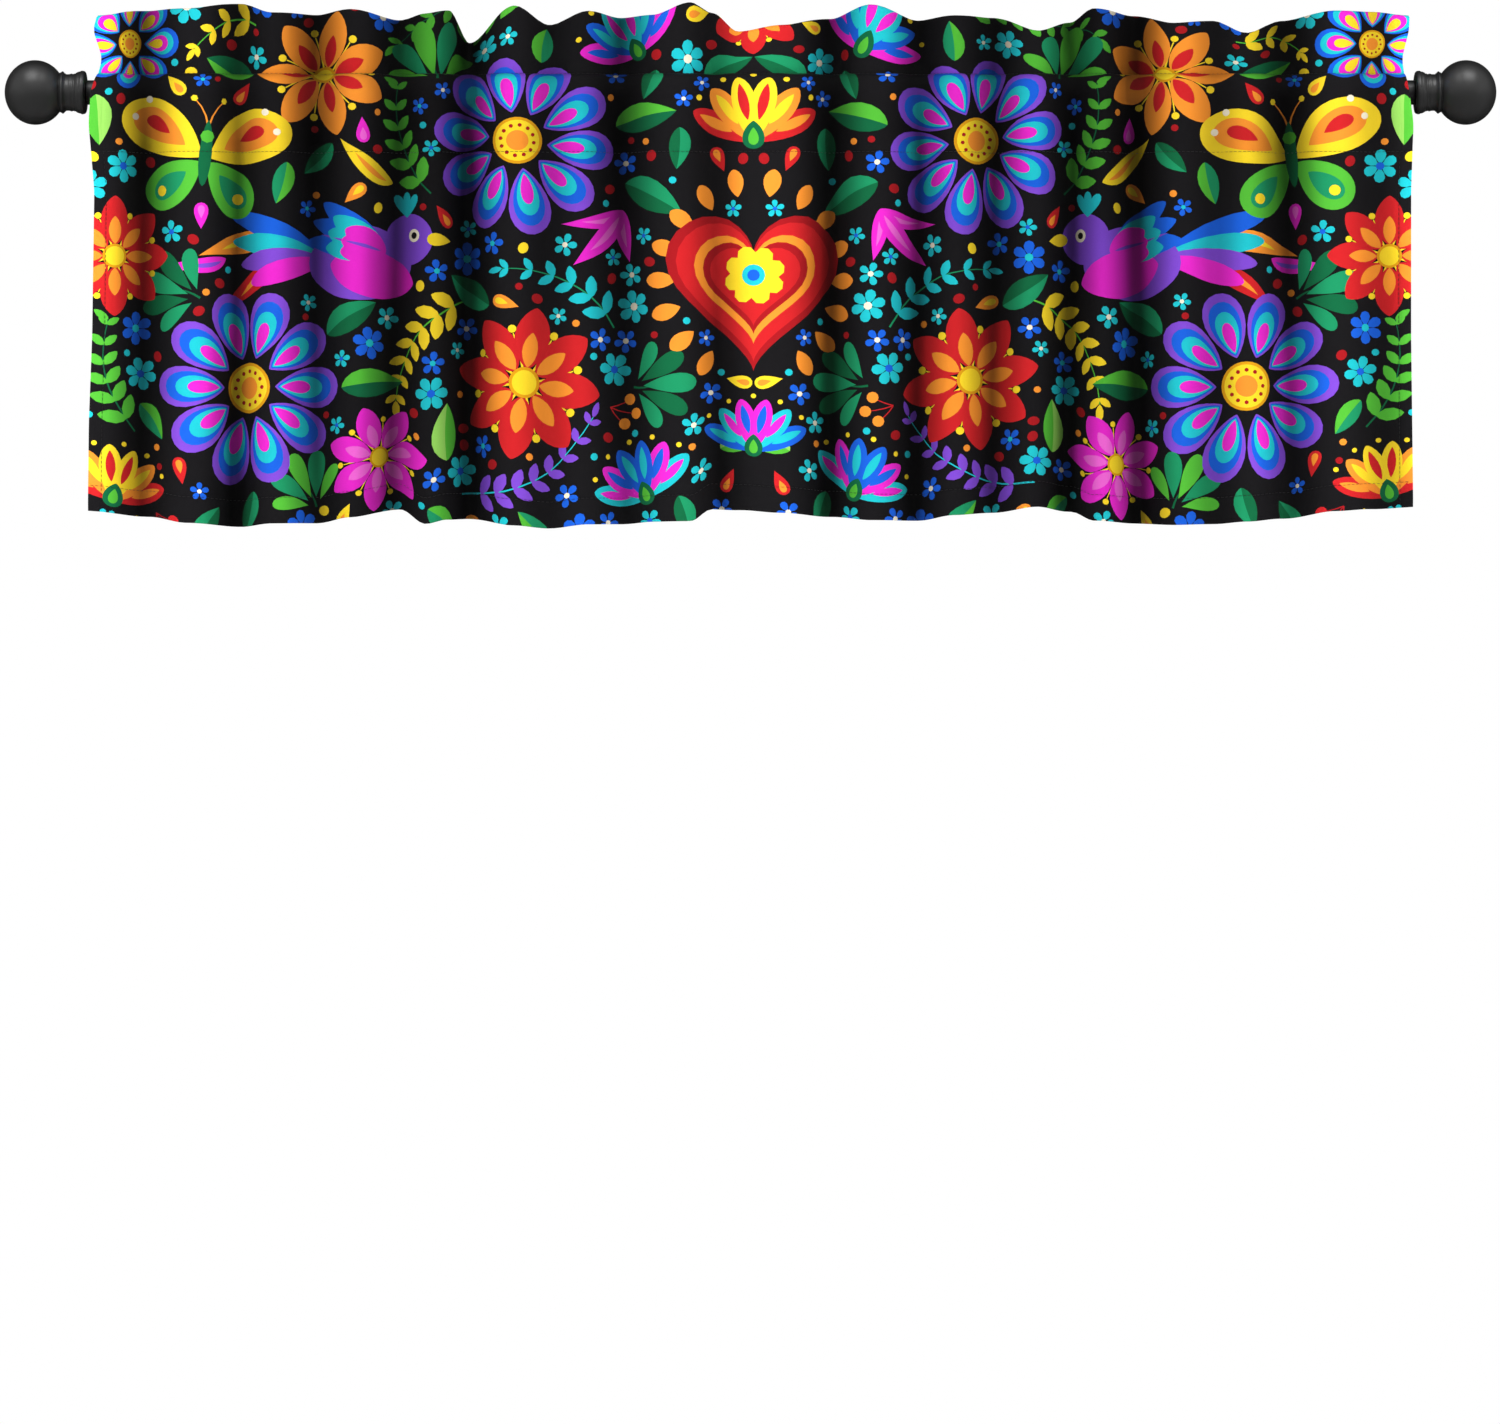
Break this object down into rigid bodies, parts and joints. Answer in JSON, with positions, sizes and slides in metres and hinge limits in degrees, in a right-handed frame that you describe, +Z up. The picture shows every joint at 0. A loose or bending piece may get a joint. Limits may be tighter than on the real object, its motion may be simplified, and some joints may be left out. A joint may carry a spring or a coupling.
{
  "type": "window valance on a curtain rod",
  "caption": "Short gathered window valance of dark floral printed cloth, hanging by its rod pocket from a black rod with ball finials.",
  "frame": {"origin": "middle of the rod, on its axis", "axes": "+X along the rod to the viewer's right, +Y back to the wall, +Z up; the printed side faces -Y"},
  "size_m": [1.3444, 0.0622, 0.4715],
  "materials": {
    "printed_cloth": "matt woven polyester with a many-coloured floral print on black",
    "rod_black": "satin black paint",
    "finial_black": "satin black paint"
  },
  "bodies": {
    "root": {"valance_cloth": "printed_cloth", "rod": "rod_black", "finial_left": "finial_black", "finial_right": "finial_black"}
  },
  "joints": []
}
